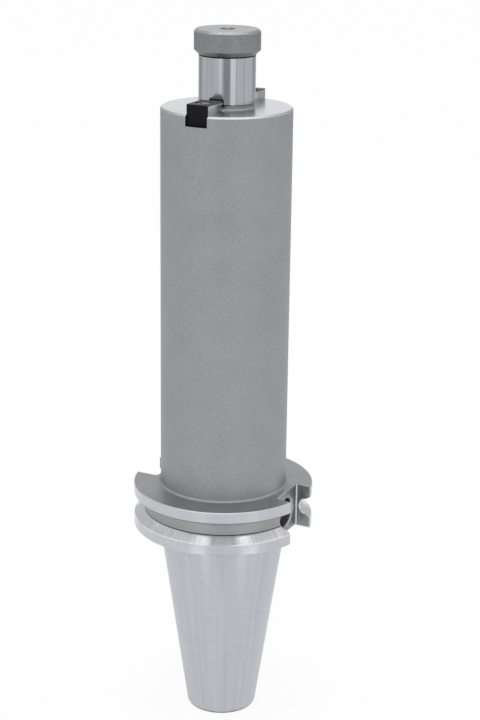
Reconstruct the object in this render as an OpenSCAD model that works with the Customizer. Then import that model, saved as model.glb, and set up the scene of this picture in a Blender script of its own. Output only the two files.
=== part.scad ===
// Shell mill holder with a size 40, 7/24 V-flange taper, a straight nose and a pilot
// for a bored face mill. Millimetres, +Z up, origin on the gauge line of the taper.
// The drive keys lie along Y, the drive slots of the flange face +X and -X.

/* [Taper] */
// Diameter of the taper at the gauge line
gauge_d = 44.45; // [44:0.05:46]
// Length of the taper from the gauge line to the small end
taper_len = 68.25; // [55:0.25:80]
// Chamfer round the small end
taper_chamfer = 1; // [0.4:0.1:1.8]
// Diameter of the relief neck between taper and flange
neck_d = 43.2; // [41:0.1:43.8]

/* [Flange] */
// Outside diameter of the flange
flange_d = 63.5; // [62:0.1:70]
// Height of the flange's spindle side above the gauge line
flange_lift = 3.175; // [2.6:0.025:5]
// Thickness of the flange
flange_t = 15.875; // [14:0.125:20]
// Depth of the V groove below the rim of the flange
groove_depth = 3.625; // [3:0.025:4]
// Width of the V groove at its bottom
groove_w = 3.75; // [3:0.05:4.5]
// Included angle of the V groove in degrees
groove_angle = 60; // [50:1:66]
// Chamfer on the edges of the flange
lip_chamfer = 0.3; // [0.1:0.05:0.6]
// Diameter of the countersink that eases each end of the V groove
groove_mouth_d = 6.2; // [4:0.1:7]
// Distance of that countersink's centre from the rim, along the wall of a slot
groove_mouth_in = 1.7; // [1:0.1:2.6]

/* [Drive slots] */
// Width of each drive slot
drive_w = 16.1; // [12:0.1:19]
// Distance from the axis to the floor of the shallow slot, on +X
shallow_floor = 25; // [24.2:0.1:26.5]
// Distance from the axis to the floor of the deep slot, on -X
deep_floor = 22.6; // [22.4:0.1:25]
// Fillet radius between the floor and the walls of a slot
drive_fillet = 0.7; // [0.4:0.1:3]
// Chamfer where the walls of a slot meet the rim
slot_chamfer = 0.45; // [0.1:0.05:0.9]
// Diameter of the round pocket in the shallow slot
pocket_d = 10; // [7:0.5:11]
// Depth of the round pocket
pocket_depth = 4.6; // [2:0.1:7]
// Chamfer round the mouth of the pocket
pocket_chamfer = 0.45; // [0.1:0.05:0.8]

/* [Nose] */
// Diameter of the straight nose
nose_d = 44.45; // [42:0.05:44.6]
// Distance from the gauge line to the face of the nose
nose_reach = 152.4; // [80:0.1:200]
// Chamfer round the face of the nose
nose_chamfer = 0.6; // [0.3:0.1:1.5]
// Fillet at the foot of the nose
nose_fillet = 0.9; // [0.4:0.1:1.4]

/* [Pilot] */
// Diameter of the pilot that centres the cutter
pilot_d = 19.05; // [17.5:0.05:19.8]
// Length of the pilot beyond the face of the nose
pilot_len = 17.46; // [13:0.02:28]
// Chamfer at the end of the pilot
pilot_chamfer = 0.45; // [0.2:0.05:1]
// Width of the relief groove at the root of the pilot
root_w = 1.8; // [1:0.1:3]
// Depth of the relief groove into the pilot
root_depth = 0.35; // [0.2:0.05:0.6]
// Depth of the relief groove into the face of the nose
root_sink = 0.25; // [0.1:0.05:0.6]

/* [Lock screw] */
// Thread diameter of the lock screw
lock_d = 9.525; // [8:0.025:10.5]
// Length of the lock screw under its head
lock_len = 25.4; // [18:0.1:34]
// Diameter of the head
head_d = 22.2; // [20.4:0.1:26]
// Height of the head
head_h = 8.2; // [6.5:0.1:12]
// Chamfer on top of the head
head_top_chamfer = 0.75; // [0.3:0.05:1.2]
// Width of the chamfer under the head
head_low_chamfer = 1.5; // [0.5:0.05:1.6]
// Hexagon socket across its flats
lock_hex = 4.76; // [4:0.02:6]
// Depth of the hexagon socket
lock_hex_depth = 4.4; // [3:0.1:5]
// Free depth of the hole past the tip of the screw
lock_hole_spare = 6; // [3:0.5:12]

/* [Drive keys] */
// Width of a drive key
key_w = 7.94; // [7:0.02:8.6]
// Length of a drive key
key_len = 10; // [8.8:0.1:10.8]
// Height of a drive key above the face of the nose
key_stand = 3.5; // [2.5:0.1:5]
// Depth of a drive key's seat below the face
key_sink = 3.75; // [3:0.05:6]
// Distance from the axis to the inner end of a key
key_start = 11.1; // [10.6:0.1:11.6]
// Chamfer on the top edges of a key
key_chamfer = 0.3; // [0.1:0.05:0.5]

/* [Key screws] */
// Diameter of a key screw
screw_d = 3; // [2.5:0.1:3.5]
// Length of a key screw under its head
screw_len = 9; // [7:0.5:14]
// Diameter of the screw's head
screw_head_d = 5.5; // [4.6:0.1:5.8]
// Height of the screw's head
screw_head_h = 3; // [2:0.1:3.2]
// Hexagon socket across its flats
screw_hex = 2.5; // [2:0.1:3]
// Depth of the hexagon socket
screw_hex_depth = 1.5; // [1:0.1:1.8]

/* [Knob thread] */
// Diameter of the pull knob thread, at the bottom of its grooves
knob_d = 15.875; // [13:0.025:16]
// Depth of the pull knob thread beyond its counterbore
knob_depth = 30; // [22:0.5:40]
// Diameter of the counterbore ahead of the thread
knob_bore_d = 16.3; // [16.1:0.05:18]
// Depth of the counterbore
knob_bore_depth = 5; // [3:0.25:9]

/* [Clearances] */
// Clearance between a key and each side of its seat
key_gap = 0.03; // [0.02:0.01:0.1]
// Clearance round the thread of the lock screw
lock_gap = 0.05; // [0.02:0.01:0.1]
// Clearance round the thread of a key screw in the holder
screw_gap = 0.03; // [0.02:0.01:0.1]
// Clearance round a key screw in its key
key_hole_gap = 0.2; // [0.1:0.05:0.4]

/* [Hidden] */
$fn = 96;
facets_of_a_hexagon = 6;
// Diameter lost per length of a 7/24 taper
taper_share = 7 / 24;
// Included angle of a drill point in degrees
drill_angle = 118;
// Overrun of every cut past the face it breaks through, and its share of the gauge diameter
overrun_share = 0.025;
overrun = gauge_d * overrun_share;
// Steps of a quarter round in a profile
arc_steps = 8;

gauge_r = gauge_d / 2;
small_r = gauge_r - taper_len * taper_share / 2;
neck_r = neck_d / 2;
flange_r = flange_d / 2;
flange_top = flange_lift + flange_t;
groove_r = flange_r - groove_depth;
groove_z = flange_lift + flange_t / 2;
groove_rise = groove_depth * tan(groove_angle / 2);
// Where the walls of a slot meet the rim
wall_end = sqrt(flange_r * flange_r - drive_w * drive_w / 4);
nose_r = nose_d / 2;
pilot_r = pilot_d / 2;
root_r = pilot_r - root_depth;
pilot_top = nose_reach + pilot_len;
head_r = head_d / 2;
head_top = pilot_top + head_h;
lock_hole_depth = lock_len + lock_hole_spare;
key_floor = nose_reach - key_sink;
key_top = nose_reach + key_stand;
key_mid = key_start + key_len / 2;
// The seat of a key starts just outside the pilot
seat_start_share = 0.2;
seat_start = pilot_r + (key_start - pilot_r) * seat_start_share;
// The head of a key screw lies below the top of its key by a share of its height
screw_drop_share = 0.1;
screw_seat = key_top - screw_head_h * (1 + screw_drop_share);
screw_bore_share = 1.09;
// Relief under the head of the lock screw
lock_neck_share = 0.9;
lock_neck_h_share = 0.1;
// Countersinks and tip chamfers as shares of what they open
mouth_share = 0.06;
hex_mouth_share = 1.12;

// Radius of the taper at a height below the gauge line
function taper_r(z) = gauge_r + z * taper_share / 2;

// Points of an arc, from angle a to angle b
function arc(cx, cy, r, a, b) =
    [for (i = [0 : arc_steps]) let (t = a + (b - a) * i / arc_steps) [cx + r * cos(t), cy + r * sin(t)]];

// Half section of the holder, from the small end up to the pilot
function body_section() = concat(
    [[0, -taper_len],
     [small_r - taper_chamfer, -taper_len],
     [taper_r(taper_chamfer - taper_len), taper_chamfer - taper_len],
     [gauge_r, 0],
     [neck_r, gauge_r - neck_r],
     [neck_r, flange_lift],
     [flange_r - lip_chamfer, flange_lift],
     [flange_r, flange_lift + lip_chamfer],
     [flange_r, groove_z - groove_w / 2 - groove_rise],
     [groove_r, groove_z - groove_w / 2],
     [groove_r, groove_z + groove_w / 2],
     [flange_r, groove_z + groove_w / 2 + groove_rise],
     [flange_r, flange_top - lip_chamfer],
     [flange_r - lip_chamfer, flange_top]],
    arc(nose_r + nose_fillet, flange_top + nose_fillet, nose_fillet, 270, 180),
    [[nose_r, nose_reach - nose_chamfer],
     [nose_r - nose_chamfer, nose_reach],
     [pilot_r + root_depth, nose_reach],
     [pilot_r, nose_reach - root_sink],
     [root_r, nose_reach - root_sink],
     [root_r, nose_reach + root_w - root_depth],
     [pilot_r, nose_reach + root_w],
     [pilot_r, pilot_top - pilot_chamfer],
     [pilot_r - pilot_chamfer, pilot_top],
     [0, pilot_top]]);

// A drilled hole that opens upwards at z, with its drill point and a small countersink
module drilled_hole(r, depth, z) {
    tip = r / tan(drill_angle / 2);
    mouth = r * mouth_share;
    translate([0, 0, z])
        rotate_extrude()
            polygon([[0, overrun], [r + mouth, overrun], [r + mouth, 0], [r, -mouth],
                     [r, -depth], [0, -depth - tip]]);
}

// Outline of a drive slot, seen along the axis, with rounded inner corners and a flared mouth
module slot_outline(floor_x) {
    straight = flange_r + overrun - floor_x - drive_fillet;
    flare = slot_chamfer + overrun;
    translate([floor_x + drive_fillet, -drive_w / 2])
        square([straight, drive_w]);
    translate([floor_x, drive_fillet - drive_w / 2])
        square([drive_fillet + overrun, drive_w - 2 * drive_fillet]);
    for (side = [-1, 1])
        translate([floor_x + drive_fillet, side * (drive_w / 2 - drive_fillet)])
            circle(r = drive_fillet);
    polygon([[wall_end - slot_chamfer, -drive_w / 2], [wall_end + overrun, -drive_w / 2 - flare],
             [wall_end + overrun, drive_w / 2 + flare], [wall_end - slot_chamfer, drive_w / 2]]);
}

// Countersink at the end of the V groove, in the wall of a slot that side points to
module groove_mouth(side) {
    r = groove_mouth_d / 2 + overrun;
    translate([wall_end - groove_mouth_in, side * (drive_w / 2 - overrun), groove_z])
        rotate([-90 * side, 0, 0])
            cylinder(r1 = r, r2 = 0, h = r);
}

// One drive slot through the flange, on the side that turn points to
module drive_slot(floor_x, turn) {
    rotate([0, 0, turn]) {
        translate([0, 0, flange_lift - overrun])
            linear_extrude(height = flange_t + nose_fillet + 2 * overrun)
                slot_outline(floor_x);
        groove_mouth(-1);
        groove_mouth(1);
    }
}

// The round pocket in the floor of the shallow slot, with its chamfered mouth
module data_pocket() {
    r = pocket_d / 2;
    flare = pocket_chamfer + overrun;
    translate([shallow_floor, 0, groove_z])
        rotate([0, 90, 0])
            rotate_extrude()
                polygon([[0, -pocket_depth], [r, -pocket_depth], [r, -pocket_chamfer],
                         [r + flare, overrun], [0, overrun]]);
}

// The seat of one key, open to the outside of the nose, with the hole for its screw
module key_seat() {
    half = key_w / 2 + key_gap;
    translate([-half, -nose_r - overrun, key_floor])
        cube([2 * half, nose_r + overrun - seat_start, key_sink + overrun]);
    translate([0, -key_mid, 0])
        drilled_hole(screw_d / 2 + screw_gap, screw_len, key_floor);
}

// The holder, turned and ground from one bar
module holder_body() {
    color("darkgray")
        difference() {
            rotate_extrude()
                polygon(body_section());
            drive_slot(shallow_floor, 0);
            drive_slot(deep_floor, 180);
            data_pocket();
            key_seat();
            rotate([0, 0, 180])
                key_seat();
            drilled_hole(lock_d / 2 + lock_gap, lock_hole_depth, pilot_top);
            mirror([0, 0, 1])
                drilled_hole(knob_d / 2, knob_bore_depth + knob_depth, taper_len);
            translate([0, 0, -taper_len - overrun])
                cylinder(d = knob_bore_d, h = knob_bore_depth + overrun);
        }
}

// A hexagon socket that opens upwards at z, with a countersunk mouth
module hex_socket(flats, depth, z) {
    corner_r = flats / 2 / cos(180 / facets_of_a_hexagon);
    mouth_r = corner_r * hex_mouth_share;
    translate([0, 0, z - depth])
        cylinder(r = corner_r, h = depth + overrun, $fn = facets_of_a_hexagon);
    translate([0, 0, z])
        rotate_extrude()
            polygon([[0, corner_r - mouth_r], [corner_r, corner_r - mouth_r], [mouth_r, 0],
                     [mouth_r, overrun], [0, overrun]]);
}

// Half section of the lock screw, with the relief under its head
function lock_section() =
    let (r = lock_d / 2, low = pilot_top - lock_len, neck_h = lock_len * lock_neck_h_share,
         tip = r * (1 - lock_neck_share))
    [[0, low],
     [r - tip, low],
     [r, low + tip],
     [r, pilot_top - neck_h],
     [r * lock_neck_share, pilot_top - neck_h + tip],
     [r * lock_neck_share, pilot_top],
     [head_r - head_low_chamfer, pilot_top],
     [head_r, pilot_top + head_low_chamfer],
     [head_r, head_top - head_top_chamfer],
     [head_r - head_top_chamfer, head_top],
     [0, head_top]];

// The screw that clamps the cutter on the pilot
module lock_screw() {
    color("silver")
        difference() {
            rotate_extrude()
                polygon(lock_section());
            hex_socket(lock_hex, lock_hex_depth, head_top);
        }
}

// Section of a key across its length, with chamfered top edges
function key_section() =
    let (half = key_w / 2)
    [[-half, 0],
     [half, 0],
     [half, key_top - key_floor - key_chamfer],
     [half - key_chamfer, key_top - key_floor],
     [key_chamfer - half, key_top - key_floor],
     [-half, key_top - key_floor - key_chamfer]];

// A drive key in its seat on -Y, counterbored for its screw
module drive_key() {
    color("dimgray")
        difference() {
            translate([0, -key_start, key_floor])
                rotate([90, 0, 0])
                    linear_extrude(height = key_len)
                        polygon(key_section());
            translate([0, -key_mid, key_floor - overrun])
                cylinder(d = screw_d + 2 * key_hole_gap, h = key_sink + key_stand);
            translate([0, -key_mid, screw_seat])
                cylinder(d = screw_head_d * screw_bore_share, h = screw_head_h + overrun);
        }
}

// A socket head cap screw that holds the key on -Y
module key_screw() {
    rim = screw_head_h * screw_drop_share;
    r = screw_d / 2;
    head = screw_head_d / 2;
    color("silver")
        translate([0, -key_mid, screw_seat])
            difference() {
                rotate_extrude()
                    polygon([[0, -screw_len], [r - rim, -screw_len], [r, rim - screw_len], [r, 0],
                             [head, 0], [head, screw_head_h - rim], [head - rim, screw_head_h],
                             [0, screw_head_h]]);
                hex_socket(screw_hex, screw_hex_depth, screw_head_h);
            }
}

module front_drive_key() {
    drive_key();
}

module rear_drive_key() {
    rotate([0, 0, 180])
        drive_key();
}

module front_key_screw() {
    key_screw();
}

module rear_key_screw() {
    rotate([0, 0, 180])
        key_screw();
}

holder_body();
lock_screw();
front_drive_key();
rear_drive_key();
front_key_screw();
rear_key_screw();
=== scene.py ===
# Shell mill holder with a size 40, 7/24 V-flange taper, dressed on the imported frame
import math
import bmesh
import bpy
from mathutils import Matrix, Vector


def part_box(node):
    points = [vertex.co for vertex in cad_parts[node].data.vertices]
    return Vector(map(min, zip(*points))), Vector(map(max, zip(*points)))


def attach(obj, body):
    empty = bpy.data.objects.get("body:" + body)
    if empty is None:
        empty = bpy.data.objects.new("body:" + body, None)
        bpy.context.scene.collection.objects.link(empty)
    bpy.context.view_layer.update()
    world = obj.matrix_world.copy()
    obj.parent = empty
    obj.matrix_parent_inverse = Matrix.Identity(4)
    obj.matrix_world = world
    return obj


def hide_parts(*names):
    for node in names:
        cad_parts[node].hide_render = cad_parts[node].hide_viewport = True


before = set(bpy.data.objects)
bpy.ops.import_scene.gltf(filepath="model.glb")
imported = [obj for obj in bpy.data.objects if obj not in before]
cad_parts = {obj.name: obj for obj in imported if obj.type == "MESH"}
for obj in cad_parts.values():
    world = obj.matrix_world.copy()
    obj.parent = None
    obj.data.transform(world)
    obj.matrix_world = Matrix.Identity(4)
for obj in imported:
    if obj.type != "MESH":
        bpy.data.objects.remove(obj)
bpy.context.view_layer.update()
mm = 0.001
fullTurn = 2 * math.pi
print("frame loaded")


# Camera of the photograph, fitted to the holder's outline. Lengths are in millimetres.
cameraView = {
    "distance": 576.5,  # from the spindle axis, level
    "height": 248.2,  # above the gauge line
    "turnDegrees": 27.0,  # from -Y towards +X
    "tiltDegrees": 17.75,
    "yawDegrees": 0.54,
    "rollDegrees": 0.72,
    "lens": 86.75,
    "sensor": 36.0,
    "nearClip": 10.0,
}


def addCamera(view):
    turn = math.radians(view["turnDegrees"])
    cameraData = bpy.data.cameras.new("photoCamera")
    cameraData.lens = view["lens"]
    cameraData.sensor_width = view["sensor"]
    cameraData.clip_start = view["nearClip"] * mm
    camera = bpy.data.objects.new("photoCamera", cameraData)
    bpy.context.scene.collection.objects.link(camera)
    place = Vector((math.sin(turn), -math.cos(turn), 0)) * view["distance"] * mm
    place.z = view["height"] * mm
    heading = Matrix.Rotation(turn - math.radians(view["yawDegrees"]), 4, "Z")
    nod = Matrix.Rotation(math.radians(90 - view["tiltDegrees"]), 4, "X")
    roll = Matrix.Rotation(math.radians(view["rollDegrees"]), 4, "Z")
    camera.matrix_world = Matrix.Translation(place) @ heading @ nod @ roll
    bpy.context.scene.camera = camera


addCamera(cameraView)
print("camera placed")


# Small helpers for node trees
def newGroup(name, inputs, outputs):
    group = bpy.data.node_groups.new(name, "ShaderNodeTree")
    for label, value in inputs.items():
        socket = group.interface.new_socket(label, in_out="INPUT", socket_type="NodeSocketFloat")
        socket.default_value = value
    for label in outputs:
        group.interface.new_socket(label, in_out="OUTPUT", socket_type="NodeSocketFloat")
    return group, group.nodes.new("NodeGroupInput").outputs, group.nodes.new("NodeGroupOutput").inputs


def connect(tree, value, socket):
    if isinstance(value, bpy.types.NodeSocket):
        tree.links.new(value, socket)
    elif value is not None:
        socket.default_value = value


def mathNode(tree, operation, first, second=None, third=None):
    node = tree.nodes.new("ShaderNodeMath")
    node.operation = operation
    for index, value in enumerate((first, second, third)):
        connect(tree, value, node.inputs[index])
    return node.outputs[0]


def rangeNode(tree, value, low, high, newLow=0.0, newHigh=1.0):
    node = tree.nodes.new("ShaderNodeMapRange")
    for index, source in enumerate((value, low, high, newLow, newHigh)):
        connect(tree, source, node.inputs[index])
    return node.outputs[0]


def noiseNode(tree, vector, scale, detail=2.0, roughness=0.5):
    node = tree.nodes.new("ShaderNodeTexNoise")
    given = {"Vector": vector, "Scale": scale, "Detail": detail, "Roughness": roughness}
    for label, value in given.items():
        connect(tree, value, node.inputs[label])
    return node.outputs[0]


def objectPlace(tree):
    return tree.nodes.new("ShaderNodeTexCoord").outputs["Object"]


def vectorOf(tree, x, y, z):
    node = tree.nodes.new("ShaderNodeCombineXYZ")
    for index, value in enumerate((x, y, z)):
        connect(tree, value, node.inputs[index])
    return node.outputs[0]


def mixColour(tree, factor, first, second):
    node = tree.nodes.new("ShaderNodeMix")
    node.data_type = "RGBA"
    connect(tree, factor, node.inputs["Factor"])
    for socket, value in ((node.inputs["A"], first), (node.inputs["B"], second)):
        connect(tree, (*value, 1.0) if isinstance(value, tuple) else value, socket)
    return node.outputs["Result"]


# Lines left by the tool: rings about the spindle axis, and soft streaks along it
def makeToolLines():
    values = {"Lines Per Metre": 4000.0, "Drift": 1.5, "Streaks": 6.0, "Streak Detail": 2.0}
    group, given, made = newGroup("toolLines", values, ["Lines", "Bands"])
    axisGap = 0.1 * mm  # inside this radius the lines no longer converge
    streakRise = 14.0
    split = group.nodes.new("ShaderNodeSeparateXYZ")
    connect(group, objectPlace(group), split.inputs[0])
    x, y, z = split.outputs
    squared = mathNode(group, "MULTIPLY_ADD", x, x, mathNode(group, "MULTIPLY", y, y))
    radius = mathNode(group, "SQRT", squared)
    reach = mathNode(group, "MAXIMUM", radius, axisGap)
    across, forward = (mathNode(group, "DIVIDE", value, reach) for value in (x, y))
    along = mathNode(group, "MULTIPLY", mathNode(group, "ADD", radius, z), given["Lines Per Metre"])
    drift = [mathNode(group, "MULTIPLY", value, given["Drift"]) for value in (across, forward)]
    lines = noiseNode(group, vectorOf(group, along, *drift), scale=1.0, detail=3.0, roughness=0.65)
    connect(group, lines, made["Lines"])
    turned = [mathNode(group, "MULTIPLY", value, given["Streaks"]) for value in (across, forward)]
    streakPlace = vectorOf(group, *turned, mathNode(group, "MULTIPLY", z, streakRise))
    streaks = noiseNode(group, streakPlace, scale=1.0, detail=given["Streak Detail"], roughness=0.6)
    connect(group, streaks, made["Bands"])
    return group


# Straight lines along the axis, left by the cutter of the drive slots
def makeMillLines():
    values = {"Lines Per Metre": 2500.0, "Rise": 40.0}
    group, given, made = newGroup("millLines", values, ["Lines", "Bands"])
    split = group.nodes.new("ShaderNodeSeparateXYZ")
    connect(group, objectPlace(group), split.inputs[0])
    for label, share in (("Lines", 1.0), ("Bands", 0.3)):
        pace = mathNode(group, "MULTIPLY", given["Lines Per Metre"], share)
        across = [mathNode(group, "MULTIPLY", value, pace) for value in split.outputs[:2]]
        rise = mathNode(group, "MULTIPLY", split.outputs[2], given["Rise"])
        lines = noiseNode(group, vectorOf(group, *across, rise), scale=1.0, detail=3.0, roughness=0.6)
        connect(group, lines, made[label])
    return group


# The fine even grain of a bead blasted surface, with wide soft clouds under it
def makeBlastGrain():
    group, given, made = newGroup("blastGrain", {"Grains Per Metre": 4200.0}, ["Grain", "Cloud"])
    place = objectPlace(group)
    grain = noiseNode(group, place, given["Grains Per Metre"], detail=2.0, roughness=0.7)
    connect(group, grain, made["Grain"])
    cloud = noiseNode(group, place, scale=90.0, detail=3.0, roughness=0.55)
    connect(group, cloud, made["Cloud"])
    return group


# Where edges are rubbed bright, broken up along their length; the lighter edges are partly wear and partly
# a painted highlight
def makeEdgeWear():
    group, given, made = newGroup("edgeWearAndHighlight", {"Width": 0.2 * mm, "Breaks Per Metre": 700.0}, ["Mask"])
    rounded = group.nodes.new("ShaderNodeBevel")
    rounded.samples = 6
    connect(group, given["Width"], rounded.inputs["Radius"])
    likeness = group.nodes.new("ShaderNodeVectorMath")
    likeness.operation = "DOT_PRODUCT"
    connect(group, rounded.outputs[0], likeness.inputs[0])
    connect(group, group.nodes.new("ShaderNodeNewGeometry").outputs["Normal"], likeness.inputs[1])
    edge = rangeNode(group, likeness.outputs["Value"], low=0.995, high=0.9)
    patches = noiseNode(group, objectPlace(group), given["Breaks Per Metre"], detail=2.0, roughness=0.6)
    broken = rangeNode(group, patches, low=0.35, high=0.6, newLow=0.35, newHigh=1.0)
    connect(group, mathNode(group, "MULTIPLY", edge, broken), made["Mask"])
    return group


# Faint handling smudges that change the gloss
def makeSmudges():
    group, given, made = newGroup("smudges", {"Spots Per Metre": 45.0}, ["Mask"])
    wide = noiseNode(group, objectPlace(group), given["Spots Per Metre"], detail=4.0, roughness=0.6)
    connect(group, rangeNode(group, wide, low=0.42, high=0.68), made["Mask"])
    return group


# Fine curved marks from handling, here and there
def makeScuffs():
    group, given, made = newGroup("scuffs", {"Marks Per Metre": 60.0}, ["Mask"])
    place = objectPlace(group)
    curve = noiseNode(group, place, given["Marks Per Metre"], detail=1.0)
    fromMiddle = mathNode(group, "ABSOLUTE", mathNode(group, "SUBTRACT", curve, 0.5))
    patches = rangeNode(group, noiseNode(group, place, scale=120.0), low=0.5, high=0.62)
    line = rangeNode(group, fromMiddle, low=0.005, high=0.001)
    connect(group, mathNode(group, "MULTIPLY", line, patches), made["Mask"])
    return group


toolLines = makeToolLines()
millLines = makeMillLines()
blastGrain = makeBlastGrain()
edgeWearAndHighlight = makeEdgeWear()
smudges = makeSmudges()
scuffs = makeScuffs()


def placeGroup(tree, group, values):
    node = tree.nodes.new("ShaderNodeGroup")
    node.node_tree = group
    for label, value in values.items():
        node.inputs[label].default_value = value
    return node.outputs


def newFinish(name):
    material = bpy.data.materials.new(name)
    material.use_nodes = True
    return material, material.node_tree, material.node_tree.nodes["Principled BSDF"].inputs


def addBump(tree, shader, height, distance):
    bump = tree.nodes.new("ShaderNodeBump")
    bump.inputs["Distance"].default_value = distance
    connect(tree, height, bump.inputs["Height"])
    connect(tree, bump.outputs[0], shader["Normal"])


# The middle of each noise, which is spread over the whole range of a look
toneSpan = {"low": 0.35, "high": 0.65}
glossSpan = {"low": 0.3, "high": 0.7}


# Turned, milled and ground steel
def turnedFinish(name, look):
    material, tree, shader = newFinish(name)
    if "streaks" in look:
        values = {"Lines Per Metre": look["linesPerMetre"], "Drift": look["drift"],
                  "Streaks": look["streaks"], "Streak Detail": look.get("streakDetail", 2.0)}
        marks = placeGroup(tree, toolLines, values)
    else:
        values = {"Lines Per Metre": look["linesPerMetre"], "Rise": look["rise"]}
        marks = placeGroup(tree, millLines, values)
    # edge mask: edges lightened, partly as wear and partly as a painted highlight
    wornAndHighlit = placeGroup(tree, edgeWearAndHighlight, {"Width": look["edgeBandWidth"] * mm})["Mask"]
    smudge = placeGroup(tree, smudges, {})["Mask"]
    bands = mathNode(tree, "MULTIPLY", marks["Bands"], 1 - look["lineShare"])
    tone = mathNode(tree, "MULTIPLY_ADD", marks["Lines"], look["lineShare"], bands)
    metal = mixColour(tree, rangeNode(tree, tone, **toneSpan), look["dark"], look["light"])
    marked = mathNode(tree, "MULTIPLY", placeGroup(tree, scuffs, {})["Mask"], look["scuffShare"])
    rubbedAndLit = mathNode(tree, "MAXIMUM", wornAndHighlit, marked)
    connect(tree, mixColour(tree, rubbedAndLit, metal, look["wornAndHighlit"]), shader["Base Color"])
    gloss = rangeNode(tree, marks["Bands"], **glossSpan, newLow=look["roughLow"], newHigh=look["roughHigh"])
    connect(tree, mathNode(tree, "MULTIPLY_ADD", smudge, look["smudgeRough"], gloss), shader["Roughness"])
    shader["Metallic"].default_value = 1.0
    addBump(tree, shader, marks["Lines"], look["lineDepth"] * mm)
    return material


# Bead blasted steel, and black oxide that is bare steel where its edges are rubbed
def grainedFinish(name, look):
    material, tree, shader = newFinish(name)
    grain = placeGroup(tree, blastGrain, {"Grains Per Metre": look["grainsPerMetre"]})
    # edge mask: edges lightened or bared, partly as wear and partly as a painted highlight
    wornAndHighlit = placeGroup(tree, edgeWearAndHighlight, {"Width": look["edgeBandWidth"] * mm})["Mask"]
    clouds = mathNode(tree, "MULTIPLY", grain["Cloud"], look["cloudShare"])
    tone = mathNode(tree, "MULTIPLY_ADD", grain["Grain"], look["grainShare"], clouds)
    spread = rangeNode(tree, tone, look["toneLow"], look["toneHigh"])
    plain = mixColour(tree, spread, look["dark"], look["light"])
    connect(tree, mixColour(tree, wornAndHighlit, plain, look["wornAndHighlit"]), shader["Base Color"])
    gloss = rangeNode(tree, grain["Cloud"], **glossSpan, newLow=look["roughLow"], newHigh=look["roughHigh"])
    connect(tree, gloss, shader["Roughness"])
    if "bareMetal" in look:
        connect(tree, mathNode(tree, "MULTIPLY", wornAndHighlit, look["bareMetal"]), shader["Metallic"])
        shader["Specular IOR Level"].default_value = look["specular"]
    else:
        shader["Metallic"].default_value = 1.0
    addBump(tree, shader, grain["Grain"], look["grainDepth"] * mm)
    return material


# Depths and widths of the looks are in millimetres
groundLook = {  # rims and underside of the flange
    "dark": (0.486, 0.51, 0.545), "light": (0.562, 0.588, 0.628), "wornAndHighlit": (0.74, 0.75, 0.76),
    "roughLow": 0.18, "roughHigh": 0.26, "scuffShare": 0.25, "smudgeRough": 0.05, "lineShare": 0.5,
    "linesPerMetre": 9000.0, "drift": 1.5, "streaks": 5.0, "lineDepth": 0.002, "edgeBandWidth": 0.15,
}
faceLook = {  # face of the nose
    **groundLook, "dark": (0.5, 0.52, 0.55), "light": (0.58, 0.6, 0.63), "wornAndHighlit": (0.72, 0.73, 0.74),
}
pilotLook = {  # ground along its length, with fine streaks
    "dark": (0.33, 0.345, 0.37), "light": (0.42, 0.435, 0.46), "wornAndHighlit": (0.7, 0.71, 0.72),
    "roughLow": 0.12, "roughHigh": 0.18, "scuffShare": 0.25, "smudgeRough": 0.04, "lineShare": 0.25,
    "linesPerMetre": 9000.0, "drift": 1.5, "streaks": 16.0, "lineDepth": 0.002, "edgeBandWidth": 0.15,
}
slopeLook = {  # polished sides of the groove, with faint cross ticks from the form tool
    "dark": (0.63, 0.637, 0.65), "light": (0.78, 0.787, 0.8), "wornAndHighlit": (0.75, 0.75, 0.76),
    "roughLow": 0.14, "roughHigh": 0.2, "scuffShare": 0.0, "smudgeRough": 0.03, "lineShare": 0.45,
    "linesPerMetre": 150.0, "drift": 3.0, "streaks": 55.0, "streakDetail": 1.0, "lineDepth": 0.002,
    "edgeBandWidth": 0.15,
}
taperLook = {
    "dark": (0.442, 0.46, 0.495), "light": (0.556, 0.576, 0.615), "wornAndHighlit": (0.72, 0.73, 0.75),
    "roughLow": 0.3, "roughHigh": 0.38, "scuffShare": 0.32, "smudgeRough": 0.05, "lineShare": 0.55,
    "linesPerMetre": 7000.0, "drift": 2.0, "streaks": 9.0, "lineDepth": 0.003, "edgeBandWidth": 0.15,
}
wallLook = {  # floors and walls of the drive slots
    "dark": (0.21, 0.212, 0.216), "light": (0.4, 0.402, 0.406), "wornAndHighlit": (0.62, 0.62, 0.62),
    "roughLow": 0.38, "roughHigh": 0.5, "scuffShare": 0.0, "smudgeRough": 0.04, "lineShare": 0.6,
    "linesPerMetre": 2500.0, "rise": 60.0, "lineDepth": 0.008, "edgeBandWidth": 0.22,
}
brightLook = {  # chamfers, the groove's mouths and the slots' corners; on the slots' fillets and mouths the tone lighter than the milled walls is a painted highlight
    "dark": (0.46, 0.465, 0.47), "light": (0.58, 0.585, 0.59), "wornAndHighlit": (0.7, 0.7, 0.7),
    "roughLow": 0.3, "roughHigh": 0.4, "scuffShare": 0.0, "smudgeRough": 0.03, "lineShare": 0.5,
    "linesPerMetre": 6000.0, "drift": 2.0, "streaks": 12.0, "lineDepth": 0.002, "edgeBandWidth": 0.1,
}
softShadeLook = {  # recesses and the hidden lower end, darkened as painted shade
    "dark": (0.2, 0.2, 0.2), "light": (0.3, 0.3, 0.3), "wornAndHighlit": (0.5, 0.5, 0.5),
    "roughLow": 0.35, "roughHigh": 0.5, "scuffShare": 0.0, "smudgeRough": 0.05, "lineShare": 0.6,
    "linesPerMetre": 5000.0, "drift": 4.0, "streaks": 6.0, "lineDepth": 0.006, "edgeBandWidth": 0.15,
}
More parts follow.
